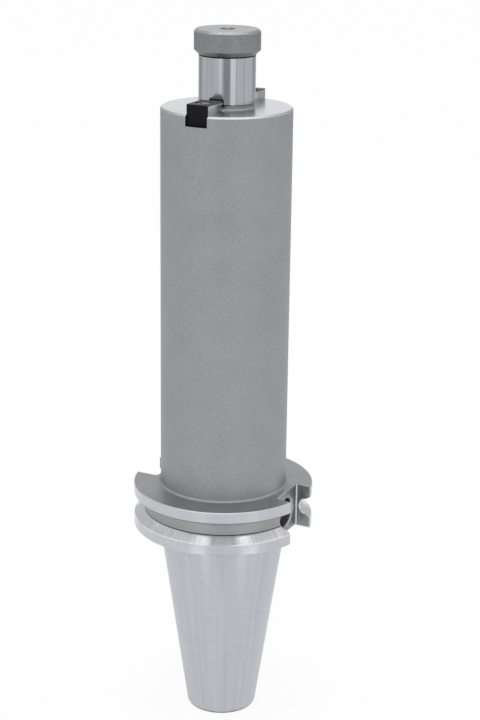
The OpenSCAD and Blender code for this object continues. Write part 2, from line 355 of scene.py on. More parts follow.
shadeLook = {  # narrow corners, gaps and undersides darkened as painted shade
    "dark": (0.05, 0.05, 0.05), "light": (0.1, 0.1, 0.1), "wornAndHighlit": (0.2, 0.2, 0.2),
    "roughLow": 0.4, "roughHigh": 0.5, "scuffShare": 0.0, "smudgeRough": 0.05, "lineShare": 0.5,
    "linesPerMetre": 5000.0, "drift": 3.0, "streaks": 10.0, "lineDepth": 0.004, "edgeBandWidth": 0.1,
}
blastedLook = {  # nose
    "dark": (0.285, 0.295, 0.304), "light": (0.403, 0.417, 0.43), "wornAndHighlit": (0.5, 0.5, 0.5),
    "roughLow": 0.5, "roughHigh": 0.58, "grainShare": 0.7, "cloudShare": 0.3,
    "toneLow": 0.35, "toneHigh": 0.65, "grainsPerMetre": 3000.0, "grainDepth": 0.02, "edgeBandWidth": 0.2,
}
flangeTopLook = {  # top of the flange, bottom of its groove and foot of the pilot
    **blastedLook, "dark": (0.285, 0.288, 0.292), "light": (0.41, 0.414, 0.42),
    "roughLow": 0.44, "roughHigh": 0.52, "grainsPerMetre": 3600.0, "grainDepth": 0.014,
}
screwSideLook = {  # rolled sides of the heads
    "dark": (0.215, 0.219, 0.225), "light": (0.288, 0.293, 0.301), "wornAndHighlit": (0.44, 0.44, 0.44),
    "roughLow": 0.44, "roughHigh": 0.54, "scuffShare": 0.15, "smudgeRough": 0.04, "lineShare": 0.8,
    "linesPerMetre": 2600.0, "drift": 6.0, "streaks": 8.0, "lineDepth": 0.005, "edgeBandWidth": 0.25,
}
screwTopLook = {  # faced top of the lock screw, and bevels of the key screws
    "dark": (0.305, 0.314, 0.325), "light": (0.418, 0.43, 0.443), "wornAndHighlit": (0.56, 0.56, 0.56),
    "roughLow": 0.36, "roughHigh": 0.44, "scuffShare": 0.3, "smudgeRough": 0.05, "lineShare": 0.7,
    "linesPerMetre": 2600.0, "drift": 2.5, "streaks": 6.0, "lineDepth": 0.005, "edgeBandWidth": 0.25,
}
oxideAndSeatShadeLook = {  # the keys' black oxide, and the same black on the holder's key seats as painted shade in the gaps round the keys
    "dark": (0.004, 0.004, 0.005), "light": (0.009, 0.009, 0.011), "wornAndHighlit": (0.3, 0.3, 0.3),
    "roughLow": 0.42, "roughHigh": 0.55, "specular": 0.1, "bareMetal": 0.9,
    "grainShare": 0.6, "cloudShare": 0.4, "toneLow": 0.4, "toneHigh": 0.6,
    "grainsPerMetre": 4500.0, "grainDepth": 0.006, "edgeBandWidth": 0.2,
}
wornAndLitOxideLook = {  # tops of the keys, rubbed lighter, and their ends by the pilot, lightened as painted light that the pilot mirrors
    **oxideAndSeatShadeLook, "dark": (0.015, 0.015, 0.017), "light": (0.075, 0.075, 0.08),
    "roughLow": 0.4, "specular": 0.25, "grainsPerMetre": 1200.0,
}
finishes = {
    "ground": turnedFinish("groundSteel", groundLook),
    "face": turnedFinish("faceSteel", faceLook),
    "pilot": turnedFinish("pilotSteel", pilotLook),
    "slope": turnedFinish("slopeSteel", slopeLook),
    "taper": turnedFinish("taperSteel", taperLook),
    "wall": turnedFinish("slotSteel", wallLook),
    "bright": turnedFinish("brightEdge", brightLook),
    "softShade": turnedFinish("softShadeSteel", softShadeLook),
    "shade": turnedFinish("paintedShadeCorner", shadeLook),
    "blasted": grainedFinish("blastedSteel", blastedLook),
    "flangeTop": grainedFinish("flangeTopSteel", flangeTopLook),
    "screwSide": turnedFinish("screwSide", screwSideLook),
    "screwTop": turnedFinish("screwTop", screwTopLook),
    "oxideAndSeatShade": grainedFinish("blackOxideAndSeatShade", oxideAndSeatShadeLook),
    "wornAndLitOxide": grainedFinish("wornAndLitOxide", wornAndLitOxideLook),
}
print("finishes made")


# Mesh helpers. Sizes go in as millimetres.
def spinSection(points, steps):
    weld = 0.0005 * mm
    bm = bmesh.new()
    verts = [bm.verts.new((radius * mm, 0, z * mm)) for radius, z in points]
    edges = [bm.edges.new(pair) for pair in zip(verts, verts[1:])]
    bmesh.ops.spin(bm, geom=verts + edges, cent=(0, 0, 0), axis=(0, 0, 1), angle=fullTurn,
                   steps=steps, use_merge=True, use_duplicate=False)
    bmesh.ops.remove_doubles(bm, verts=bm.verts, dist=weld)
    bmesh.ops.recalc_face_normals(bm, faces=bm.faces)
    return bm


def bevelEdges(bm, edges, width, segments, clamp=False):
    bmesh.ops.bevel(bm, geom=edges, offset=width * mm, offset_type="OFFSET", segments=segments,
                    profile=0.5, affect="EDGES", clamp_overlap=clamp, material=-1)


def bevelRings(bm, rings):
    near = 0.002 * mm
    for radius, z, width, segments in rings:
        edges = [edge for edge in bm.edges
                 if all(abs(vert.co.z - z * mm) < near and abs(vert.co.xy.length - radius * mm) < near
                        for vert in edge.verts)]
        bevelEdges(bm, edges, width, segments, clamp=True)


def pieceFrom(bm, name, finishNames=()):
    mesh = bpy.data.meshes.new(name)
    bm.to_mesh(mesh)
    bm.free()
    piece = bpy.data.objects.new(name, mesh)
    bpy.context.scene.collection.objects.link(piece)
    for finishName in finishNames:
        mesh.materials.append(finishes[finishName])
    return piece


def combine(piece, tools, operation="DIFFERENCE"):
    for tool in tools:
        modifier = piece.modifiers.new("shape", "BOOLEAN")
        modifier.operation = operation
        modifier.solver = "EXACT"
        modifier.object = tool
    bpy.context.view_layer.update()
    shaped = bpy.data.meshes.new_from_object(piece.evaluated_get(bpy.context.evaluated_depsgraph_get()))
    shaped.name = piece.name
    piece.modifiers.clear()
    piece.data = shaped
    for tool in tools:
        bpy.data.objects.remove(tool)
    return piece


def reshape(piece, change):
    bm = bmesh.new()
    bm.from_mesh(piece.data)
    change(bm)
    bm.to_mesh(piece.data)
    bm.free()


def smoothOver(piece, sharpDegrees=28.0):
    piece.data.shade_smooth()
    piece.data.set_sharp_from_angle(angle=math.radians(sharpDegrees))


def boxTool(name, low, high, filletEdges=None, fillet=0.0, segments=5):
    bm = bmesh.new()
    size = Vector(high) - Vector(low)
    middle = (Vector(high) + Vector(low)) / 2
    place = Matrix.Translation(middle * mm) @ Matrix.Diagonal((*size * mm, 1))
    bmesh.ops.create_cube(bm, size=1.0, matrix=place)
    if filletEdges:
        bevelEdges(bm, [edge for edge in bm.edges if filletEdges(edge)], fillet, segments)
    return pieceFrom(bm, name)


# A box whose top or bottom grows outwards at 45 degrees, to chamfer the mouth of a cut
def flaredBox(name, low, high, grown, upward=True):
    box = boxTool(name, low, high)
    middle = (Vector(high) + Vector(low)) / 2 * mm
    width, depth = high[0] - low[0], high[1] - low[1]

    def grow(bm):
        outer = [vert for vert in bm.verts if (vert.co.z > middle.z) == upward]
        bmesh.ops.scale(bm, vec=(1 + 2 * grown / width, 1 + 2 * grown / depth, 1), verts=outer,
                        space=Matrix.Translation(-middle))

    reshape(box, grow)
    return box


def sectionTool(name, points, steps, place=Matrix.Identity(4)):
    bm = spinSection(points, steps)
    bmesh.ops.transform(bm, matrix=place, verts=bm.verts)
    return pieceFrom(bm, name)


# A threaded rod along Z: a zigzag section wound round once with a rise of one pitch
def threadTool(name, crest, root, pitch, low, high, steps):
    weld = 0.002 * mm
    bm = bmesh.new()
    turns = math.ceil((high - low) / pitch) + 3  # with spare ones at both ends, which are cut off
    corners = [(crest, 0.0), (crest, 0.12), (root, 0.47), (root, 0.65)]  # with their share of the pitch
    points = [(radius, low + (turn - 2 + share) * pitch)
              for turn in range(turns) for radius, share in corners]
    verts = [bm.verts.new((radius * mm, 0, z * mm)) for radius, z in points]
    edges = [bm.edges.new(pair) for pair in zip(verts, verts[1:])]
    bmesh.ops.spin(bm, geom=verts + edges, cent=(0, 0, 0), axis=(0, 0, 1), angle=fullTurn,
                   dvec=(0, 0, pitch * mm / steps), steps=steps, use_merge=False, use_duplicate=False)
    bmesh.ops.remove_doubles(bm, verts=bm.verts, dist=weld)
    for z, normal in ((low, (0, 0, -1)), (high, (0, 0, 1))):
        everything = bm.verts[:] + bm.edges[:] + bm.faces[:]
        cut = bmesh.ops.bisect_plane(bm, geom=everything, plane_co=(0, 0, z * mm), plane_no=normal,
                                     clear_outer=True)
        rim = [part for part in cut["geom_cut"] if isinstance(part, bmesh.types.BMEdge)]
        bmesh.ops.edgenet_fill(bm, edges=rim)
    bmesh.ops.recalc_face_normals(bm, faces=bm.faces)
    return pieceFrom(bm, name)


# Cuts a hexagon socket with a countersunk mouth into the top of a screw
def cutSocket(screw, size, top, steps=48):
    turn = Matrix.Rotation(math.radians(size["hexTurn"]), 4, "Z")
    place = Matrix.Translation((0, 0, top * mm)) @ turn
    corner, depth = size["hexFlats"] / 2 / math.cos(math.pi / 6), size["hexDepth"]
    bm = bmesh.new()
    bmesh.ops.create_cone(bm, cap_ends=True, segments=6, radius1=corner * mm, radius2=corner * mm,
                          depth=2 * depth * mm, matrix=place)
    mouth = corner * size["mouthShare"]
    countersink = [(0, -mouth), (mouth + depth, depth), (0, depth)]
    combine(screw, [pieceFrom(bm, "socketHex"), sectionTool("socketMouth", countersink, steps, place)])


# Joins a threaded shank to a screw, with its ends cut to a section
def addThread(screw, size, tip, top, ends):
    shank, root = size["threadDiameter"] / 2, size["threadRoot"] / 2 - size["rootUnder"]
    thread = threadTool("threadTool", shank, root, size["pitch"], tip, top, size["threadSteps"])
    combine(thread, [sectionTool("endTool", ends, size["threadSteps"])], "INTERSECT")
    combine(screw, [thread], "UNION")


# The holder: taper, flange, nose and pilot turned from one bar
holder = {
    "gaugeDiameter": 44.45, "taperLength": 68.25, "taperChamfer": 1.0, "neckDiameter": 43.2,
    "flangeDiameter": 2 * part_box("holder_body")[1].y / mm, "flangeLift": 3.175, "flangeThickness": 15.875,
    "lipChamfer": 0.3, "grooveDepth": 3.625, "grooveWidth": 3.75, "grooveDegrees": 60.0,
    "grooveCorner": 0.32, "grooveEdge": 0.2, "mouthDiameter": 6.2, "mouthIn": 1.7,
    "slotWidth": 16.1, "shallowFloor": 25.0, "deepFloor": 22.6, "slotFillet": 0.7, "slotEdge": 0.12,
    "slotChamfer": 0.45, "slotUnderChamfer": 0.5,
    "pocketDiameter": 10.0, "pocketDepth": 4.6, "pocketChamfer": 0.45, "pocketFoot": 0.3,
    "noseReach": 152.4, "noseChamfer": 0.6, "noseFillet": 0.9,
    "pilotDiameter": 19.05, "pilotLength": 17.46, "pilotChamfer": 0.45,
    "rootWidth": 1.8, "rootDepth": 0.35, "rootFoot": 0.55,
    "seatWidth": 8.0, "seatSink": 3.75, "seatStart": 9.84, "seatEdge": 0.1, "keyMiddle": 16.1,
    "screwHoleDiameter": 3.06, "screwHoleDepth": 9.0, "screwHoleSteps": 32,
    "lockHoleDiameter": 9.625, "lockHoleDepth": 31.4, "mouthShare": 0.06,
    "knobDiameter": 15.875, "knobRoot": 13.4, "knobRootUnder": 0.05, "knobPitch": 2.309, "knobDepth": 30.0,
    "knobBoreDiameter": 16.3, "knobBoreDepth": 5.0, "knobBoreChamfer": 0.4, "knobBoreSlope": 0.5,
    "drillDegrees": 118.0, "steps": 256, "holeSteps": 64, "overrun": 2.0,
}
holderFinishes = ["blasted", "ground", "taper", "wall", "bright", "softShade", "slope", "pilot", "shade",
                  "flangeTop", "oxideAndSeatShade", "face"]


def flangeTopOf(size):
    return size["flangeLift"] + size["flangeThickness"]


def grooveMiddleOf(size):
    return size["flangeLift"] + size["flangeThickness"] / 2


# How far each sloping side of the groove rises
def grooveRiseOf(size):
    return size["grooveDepth"] * math.tan(math.radians(size["grooveDegrees"] / 2))


def holderSection(size):
    slope = 7 / 24 / 2
    gauge, nose, pilot = size["gaugeDiameter"] / 2, size["gaugeDiameter"] / 2, size["pilotDiameter"] / 2
    neck, rim = size["neckDiameter"] / 2, size["flangeDiameter"] / 2
    flangeTop, grooveMiddle, rise = flangeTopOf(size), grooveMiddleOf(size), grooveRiseOf(size)
    half = size["grooveWidth"] / 2
    floor, corner = rim - size["grooveDepth"], size["grooveCorner"]
    knob, knobBore = size["knobRoot"] / 2, size["knobBoreDiameter"] / 2
    lock = size["lockHoleDiameter"] / 2
    low, face, top = -size["taperLength"], size["noseReach"], size["noseReach"] + size["pilotLength"]
    bore, lockEnd = low + size["knobBoreDepth"], top - size["lockHoleDepth"]
    knobEnd = bore + size["knobDepth"]
    point = math.tan(math.radians(size["drillDegrees"] / 2))
    mouth = lock * size["mouthShare"]
    root = pilot - size["rootDepth"]
    return [
        (0, knobEnd + knob / point), (knob, knobEnd),
        (knob, bore + (knobBore - knob) * size["knobBoreSlope"]), (knobBore, bore), (knobBore, low),
        (gauge - size["taperLength"] * slope, low), (gauge, 0), (neck, gauge - neck),
        (neck, size["flangeLift"]), (rim, size["flangeLift"]),
        (rim, grooveMiddle - half - rise), (floor, grooveMiddle - half),
        (floor - corner, grooveMiddle - half), (floor, grooveMiddle - half + corner),
        (floor, grooveMiddle + half), (rim, grooveMiddle + half + rise),
        (rim, flangeTop), (nose, flangeTop), (nose, face), (root + size["rootFoot"], face),
        (root, face + size["rootFoot"]), (root, face + size["rootWidth"] - size["rootDepth"]),
        (pilot, face + size["rootWidth"]), (pilot, top), (lock + mouth, top), (lock, top - mouth),
        (lock, lockEnd), (0, lockEnd - lock / point),
    ]


def holderRings(size):
    rim, nose, pilot = size["flangeDiameter"] / 2, size["gaugeDiameter"] / 2, size["pilotDiameter"] / 2
    small = size["gaugeDiameter"] / 2 - size["taperLength"] * 7 / 24 / 2
    flangeTop, grooveMiddle = flangeTopOf(size), grooveMiddleOf(size)
    reach = size["grooveWidth"] / 2 + grooveRiseOf(size)
    lip, fine = size["lipChamfer"], size["grooveEdge"]
    return [
        (small, -size["taperLength"], size["taperChamfer"], 2),
        (size["knobBoreDiameter"] / 2, -size["taperLength"], size["knobBoreChamfer"], 1),
        (rim, size["flangeLift"], lip, 1), (rim, flangeTop, lip, 1),
        (rim, grooveMiddle - reach, fine, 1), (rim, grooveMiddle + reach, fine, 1),
        (nose, flangeTop, size["noseFillet"], 6), (nose, size["noseReach"], size["noseChamfer"], 1),
        (pilot, size["noseReach"] + size["pilotLength"], size["pilotChamfer"], 1),
    ]


# One drive slot: its straight cut, flared at the rim, eased below, and countersunk where the groove ends
def slotTools(size, floor, side):
    half, over, rim = size["slotWidth"] / 2, size["overrun"], size["flangeDiameter"] / 2
    low, top = size["flangeLift"] - over, flangeTopOf(size) + size["noseFillet"] + 1
    wallEnd = math.sqrt(rim ** 2 - half ** 2)
    chamfer, under = size["slotChamfer"], size["slotUnderChamfer"]

    def box(name, near, far, bottom, ceiling, fillet=0.0):
        ends = sorted((side * near, side * far))
        atFloor = (lambda edge: all(abs(vert.co.x - side * near * mm) < 0.01 * mm for vert in edge.verts)
                   and abs(edge.verts[0].co.z - edge.verts[1].co.z) > 1 * mm) if fillet else None
        return boxTool(name, (ends[0], -half, bottom), (ends[1], half, ceiling), atFloor, fillet)

    def widen(bm):
        outer = [vert for vert in bm.verts if abs(vert.co.x) > rim * mm]
        wide = half + chamfer + rim + over - wallEnd
        bmesh.ops.scale(bm, vec=(1, wide / half, 1), verts=outer)

    cut = box("slotTool", floor, rim + over, low, top, size["slotFillet"])
    flare = box("flareTool", wallEnd - chamfer, rim + over, low, top)
    reshape(flare, widen)
    far = sorted((side * floor, side * (rim + over)))
    ease = flaredBox("easeTool", (far[0], -half, low), (far[1], half, size["flangeLift"] + under),
                     under + over, upward=False)
    inset = 1.0  # each countersink starts this far inside the slot, and is that much wider there
    radius = size["mouthDiameter"] / 2 + inset
    across, middle = side * (wallEnd - size["mouthIn"]) * mm, grooveMiddleOf(size) * mm
    mouths = []
    for wall in (-1, 1):
        spot = (across, wall * (half - inset) * mm, middle)
        place = Matrix.Translation(spot) @ Matrix.Rotation(-wall * math.pi / 2, 4, "X")
        cone = [(0, 0), (radius, 0), (0, radius)]
        mouths.append(sectionTool("mouthTool", cone, size["holeSteps"], place))
    return [cut, flare, ease, *mouths]


def pocketTool(size):
    radius, depth, rim = size["pocketDiameter"] / 2, size["pocketDepth"], size["pocketChamfer"]
    foot, over = size["pocketFoot"], size["overrun"]
    spot = (size["shallowFloor"] * mm, 0, grooveMiddleOf(size) * mm)
    place = Matrix.Translation(spot) @ Matrix.Rotation(math.pi / 2, 4, "Y")
    points = [(0, -depth), (radius - foot, -depth), (radius, foot - depth), (radius, -rim),
              (radius + rim + over, over), (0, over)]
    return sectionTool("pocketTool", points, size["holeSteps"], place)


def seatTools(size, side):
    half, over = size["seatWidth"] / 2, size["overrun"]
    floor = size["noseReach"] - size["seatSink"]
    outer = size["gaugeDiameter"] / 2 + over
    ends = sorted((side * size["seatStart"], side * outer))
    seat = boxTool("seatTool", (-half, ends[0], floor), (half, ends[1], size["noseReach"] + over))
    mouth = flaredBox("mouthTool", (-half, ends[0], size["noseReach"] - size["seatEdge"]),
                      (half, ends[1], size["noseReach"] + over), size["seatEdge"] + over)
    radius, depth = size["screwHoleDiameter"] / 2, size["screwHoleDepth"]
    tip = radius / math.tan(math.radians(size["drillDegrees"] / 2))
    hole = [(0, -depth - tip), (radius, -depth), (radius, over), (0, over)]
    place = Matrix.Translation((0, side * size["keyMiddle"] * mm, floor * mm))
    return [seat, mouth, sectionTool("screwHoleTool", hole, size["screwHoleSteps"], place)]


# Bevels the sharp edges that the drive slots left. The widths are in millimetres, the weld in metres.
def easeCutEdges(bm, size):
    slotHalf, flangeTop = size["slotWidth"] / 2, flangeTopOf(size)
    weld, near, exact = 0.01 * mm, 0.02, 0.005
    bmesh.ops.dissolve_degenerate(bm, dist=weld, edges=bm.edges)

    def bySlot(point):
        return (abs(point.y) < (slotHalf + near) * mm and abs(point.x) > (size["deepFloor"] - near) * mm
                and (size["flangeLift"] - near) * mm < point.z < (flangeTop + 0.5) * mm)

    def onWall(edge):
        wall = all(abs(abs(vert.co.y) - slotHalf * mm) < exact * mm
                   and vert.co.z > (size["flangeLift"] + size["slotUnderChamfer"] + 0.1) * mm
                   for vert in edge.verts)
        floors = any(all(abs(vert.co.x - place * mm) < exact * mm for vert in edge.verts)
                     for place in (size["shallowFloor"], -size["deepFloor"]))
        return wall or floors

    def isSharp(edge, degrees):
        return edge.is_manifold and edge.is_convex and math.degrees(edge.calc_face_angle(0)) > degrees

    slots = [edge for edge in bm.edges
             if isSharp(edge, 20) and all(bySlot(vert.co) for vert in edge.verts) and onWall(edge)]
    bevelEdges(bm, slots, size["slotEdge"], 2)


# Which finish a face of the holder has, by where it lies and where it looks
def isUpright(normal):
    return abs(normal.z) < 0.02


def isSloping(normal):
    return 0.3 < abs(normal.z) < 0.8


def looksUp(normal):
    return normal.z > 0.98


def taperFinish(radius, normal, size):
    # the knob bore and the downward faces of the lower end take the soft shade finish as painted shade
    if radius < size["knobBoreDiameter"] / 2 + 0.5 or normal.z < -0.3:
        return "softShade"
    return "taper"


def flangeFinish(place, radius, z, normal, size):
    rim, top, middle = size["flangeDiameter"] / 2, flangeTopOf(size), grooveMiddleOf(size)
    half, near = size["grooveWidth"] / 2, 0.03
    floor = rim - size["grooveDepth"]
    rise = half + grooveRiseOf(size)
    across, level = abs(place.x / mm), abs(z - middle)
    fromPocket = math.hypot(place.y / mm, z - middle) - size["pocketDiameter"] / 2
    if place.x > 0 and fromPocket < size["pocketChamfer"] + near and across < size["shallowFloor"] - near:
        # the pocket's inside takes the soft shade finish as painted shade
        return "pilot" if fromPocket > -near and abs(normal.x) > 0.3 else "softShade"
    inSlot = abs(place.y / mm) < size["slotWidth"] / 2 + near and across > size["deepFloor"] - near
    if inSlot and isUpright(normal) and radius < rim - near:
        fromFloor = min(abs(across - size["shallowFloor"]), abs(across - size["deepFloor"]))
        turning = 0.2 < abs(normal.y) < 0.98
        # the slot's corner fillets take the bright finish as a painted highlight line
        return "bright" if fromFloor < size["slotFillet"] and turning else "wall"
    if z < size["flangeLift"] + near and not inSlot:
        return "ground"
    wallEnd = math.sqrt(rim ** 2 - size["slotWidth"] ** 2 / 4)
    fromMouth = math.hypot(across - wallEnd + size["mouthIn"], z - middle)
    # the countersunk mouths take the bright finish, partly as a painted highlight
    if not inSlot and fromMouth < size["mouthDiameter"] / 2 and 0.6 < abs(normal.y) < 0.8:
        return "bright"
    bySlot = abs(place.y / mm) < size["slotWidth"] / 2 + 1
    if bySlot and isUpright(normal) and 0.5 < abs(normal.y) < 0.9:
        return "bright"
    if looksUp(normal):
        return "flangeTop"
    if level <= half - size["grooveCorner"] and isUpright(normal) and radius < rim - 1:
        return "flangeTop"
    # the groove's lower corner is darkened as painted shade
    if radius < floor + near and level <= half + near:
        return "shade"
    if radius > rim - 1.1 * size["grooveEdge"] and abs(level - rise) < size["grooveEdge"]:
        # the upper edge's bevel takes the soft shade finish as a painted shade line; the lower edge takes
        # the slope finish
        return "ground" if abs(normal.z) < 0.1 else "slope" if z < middle else "softShade"
    if isSloping(normal) and z > top - size["lipChamfer"] - near:
        return "bright"
    if isSloping(normal) and z < size["flangeLift"] + size["slotUnderChamfer"] + near:
        return "bright"
    return "slope" if radius < rim - near and abs(normal.z) > 0.7 else "ground"


def noseFinish(place, radius, z, normal, size):
    nose, face, near = size["gaugeDiameter"] / 2, size["noseReach"], 0.05
    atSeat = abs(place.x / mm) < size["seatWidth"] / 2 + 0.02 and z > face - size["seatSink"] - near
    atSeat = atSeat and radius > size["seatStart"] - near
    # the seat's walls and floor take the black as painted shade in the gap around the key
    if atSeat and (radius < nose - 0.2 or abs(normal.x) > 0.95) and abs(normal.z) < 0.98:
        return "oxideAndSeatShade"
    if atSeat and looksUp(normal) and z < face - 0.5:
        return "oxideAndSeatShade"
    if z > face - 0.02 and normal.z > 0.9:
        return "face"
    if z > face - size["noseChamfer"] and normal.z > 0.3:
        return "bright"
    return "blasted"


def pilotFinish(radius, z, normal, size):
    # the lock hole's wall and the relief at the pilot's root take the soft shade finish as painted shade
    if radius < size["lockHoleDiameter"] / 2 + 0.4:
        return "softShade"
    if z < size["noseReach"] + size["rootFoot"] and normal.z > 0.3:
        return "flangeTop"
    if z < size["noseReach"] + size["rootWidth"]:
        return "softShade"
    # the pilot's top and its chamfer are darkened as a painted shadow under the lock screw's head
    return "shade" if normal.z > 0.3 else "pilot"


def holderFinish(place, normal, size):
    radius, z = place.xy.length / mm, place.z / mm
    pilot, face, near = size["pilotDiameter"] / 2, size["noseReach"], 0.05
    if z < -near:
        return taperFinish(radius, normal, size)
    # the neck between taper and flange is darkened as painted shade under the flange
    if z < size["flangeLift"] - near:
        return "shade"
    if z < flangeTopOf(size) + near and radius > pilot:
        return flangeFinish(place, radius, z, normal, size)
    onPilot = radius < pilot + near and z > face + near
    footRadius = pilot - size["rootDepth"] + size["rootFoot"]
    onFoot = radius < footRadius + near and 0.3 < normal.z < 0.9 and z > face
    if radius < size["lockHoleDiameter"] / 2 + 0.4 or onPilot or onFoot:
        return pilotFinish(radius, z, normal, size)
    return noseFinish(place, radius, z, normal, size)


def makeHolder(size):
    bm = spinSection(holderSection(size), size["steps"])
    bevelRings(bm, holderRings(size))
    body = pieceFrom(bm, "holderBody", holderFinishes)
    low = -size["taperLength"] + size["knobBoreDepth"]
    crest, pitch = size["knobDiameter"] / 2, size["knobPitch"]
    root = size["knobRoot"] / 2 - size["knobRootUnder"]
    thread = threadTool("knobThreadTool", crest, root, pitch, low - 1, low + size["knobDepth"] - pitch,
                        size["holeSteps"])
    tools = [thread, *slotTools(size, size["shallowFloor"], 1), *slotTools(size, size["deepFloor"], -1),
             pocketTool(size), *seatTools(size, -1), *seatTools(size, 1)]
    combine(body, tools)

    def finishOff(bm):
        easeCutEdges(bm, size)
        for part in bm.faces:
            finishName = holderFinish(part.calc_center_median(), part.normal, size)
            part.material_index = holderFinishes.index(finishName)

    reshape(body, finishOff)
    smoothOver(body, 24.0)
    return body


holderBody = makeHolder(holder)
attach(holderBody, "root")
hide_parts("holder_body")
print("holder made")


# The lock screw: a wide round head on a threaded shank
lock = {
    "threadDiameter": 9.525, "threadRoot": 8.23, "rootUnder": 0.02, "pitch": 1.0583, "length": 25.4,
    "pointInset": 0.5, "pointRise": 1.2, "neckLength": 2.54, "runOut": 0.9, "runOutStart": 0.6, "join": 0.3,
    "headDiameter": 22.2, "headHeight": 8.2, "topChamfer": 0.75, "lowChamfer": 1.5,
    "hexFlats": 4.76, "hexDepth": 4.4, "mouthShare": 1.02, "hexTurn": -3.0,
    "steps": 128, "threadSteps": 48,
}


def makeLockScrew(size, seat):
    head, shank, neck = size["headDiameter"] / 2, size["threadDiameter"] / 2, size["threadRoot"] / 2
    top, tip, under = seat + size["headHeight"], seat - size["length"], seat - size["neckLength"]
    bm = spinSection([(0, under), (neck, under), (neck, seat), (head, seat), (head, top), (0, top)],
                     size["steps"])
    bevelRings(bm, [(head, seat, size["lowChamfer"], 1), (head, top, size["topChamfer"], 1)])
    screw = pieceFrom(bm, "lockScrew", ["screwSide", "screwTop", "softShade", "shade"])
    join, runOut = size["join"], size["runOut"]
    outer = shank + join
    ends = [(0, tip - join), (neck - size["pointInset"], tip - join), (outer, tip + size["pointRise"]),
            (outer, under - size["runOutStart"]), (neck - join, under + runOut), (0, under + runOut)]
    addThread(screw, size, tip, under + join, ends)
    cutSocket(screw, size, top)
    rolled, faced, softShade, underHeadShade = range(4)  # in the order of its finishes

    def finishOff(bm):
        for part in bm.faces:
            middle, normal = part.calc_center_median(), part.normal
            radius, z = middle.xy.length / mm, middle.z / mm
            inside = radius < size["hexFlats"] * 0.75 and z > seat + 1 and normal.z < 0.95
            # the socket and shank take the soft shade finish, and the head's underside the shade finish, as
            # painted shade
            if inside or z < seat + 0.05:
                part.material_index = underHeadShade if radius > shank + 1 and not inside else softShade
            else:
                part.material_index = faced if normal.z > 0.1 else rolled

    reshape(screw, finishOff)
    smoothOver(screw)
    return screw


lockScrew = makeLockScrew(lock, holder["noseReach"] + holder["pilotLength"])
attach(lockScrew, "lock_screw")
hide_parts("lock_screw")
print("lock screw made")


# The two drive keys, black but for their ground sides
key = {
    "width": 7.94, "length": 10.0, "stand": 3.5, "chamfer": 0.3, "edge": 0.12, "start": 11.1,
    "boreDiameter": 5.995, "boreFloor": 152.6, "holeDiameter": 3.4, "boreChamfer": 0.2, "holeSteps": 48,
}
keyScrew = {
    "threadDiameter": 3.0, "threadRoot": 2.39, "rootUnder": 0.02, "pitch": 0.5, "length": 9.0,
    "pointInset": 0.4, "pointRise": 0.6, "threadEnd": 0.6, "join": 0.1, "overlap": 1.0,
    "headDiameter": 5.5, "headHeight": 3.0, "rim": 0.3,
    "hexFlats": 2.5, "hexDepth": 1.5, "mouthShare": 1.12, "hexTurn": 12.0,
    "steps": 64, "threadSteps": 24,
}


def makeDriveKey(name, size, side, floor, face):
    half, top = size["width"] / 2, face + size["stand"]
    ends = sorted((side * size["start"], side * (size["start"] + size["length"])))
    body = boxTool(name, (-half, ends[0], floor), (half, ends[1], top))
    for finishName in ("oxideAndSeatShade", "pilot", "wornAndLitOxide"):
        body.data.materials.append(finishes[finishName])

    def easeEdges(bm):
        upper = [edge for edge in bm.edges if all(vert.co.z > (face + 1) * mm for vert in edge.verts)
                 and abs(edge.verts[0].co.y - edge.verts[1].co.y) > 1 * mm]
        bevelEdges(bm, upper, size["chamfer"], 3)
        sharp = [edge for edge in bm.edges if edge.calc_face_angle(0) > math.radians(60)]
        bevelEdges(bm, sharp, size["edge"], 2)

    reshape(body, easeEdges)
    middle = side * (size["start"] + size["length"] / 2)
    bore, hole, seat = size["boreDiameter"] / 2, size["holeDiameter"] / 2, size["boreFloor"]
    rim, over = size["boreChamfer"], 1.0
    points = [(0, floor - over), (hole, floor - over), (hole, seat), (bore, seat), (bore, top - rim),
              (bore + rim + over, top + over), (0, top + over)]
    place = Matrix.Translation((0, middle * mm, 0))
    combine(body, [sectionTool("boreTool", points, size["holeSteps"], place)])
    black, ground, rubbedAndLit = range(3)  # in the order of its finishes

    def finishOff(bm):
        for part in bm.faces:
            place, normal = part.calc_center_median(), part.normal
            flank = abs(normal.x) > 0.95 and abs(place.x) > (half - 0.02) * mm
            # the inner ends take the lighter oxide as painted light, seen mirrored in the pilot
            inner = normal.y * side < -0.5 and abs(place.y) < (size["start"] + 1) * mm
            upper = normal.z > 0.5 and place.z > (top - 1) * mm
            bare = flank or normal.z < -0.9
            part.material_index = ground if bare else rubbedAndLit if inner or upper else black

    reshape(body, finishOff)
    smoothOver(body, 36.0)
    return body


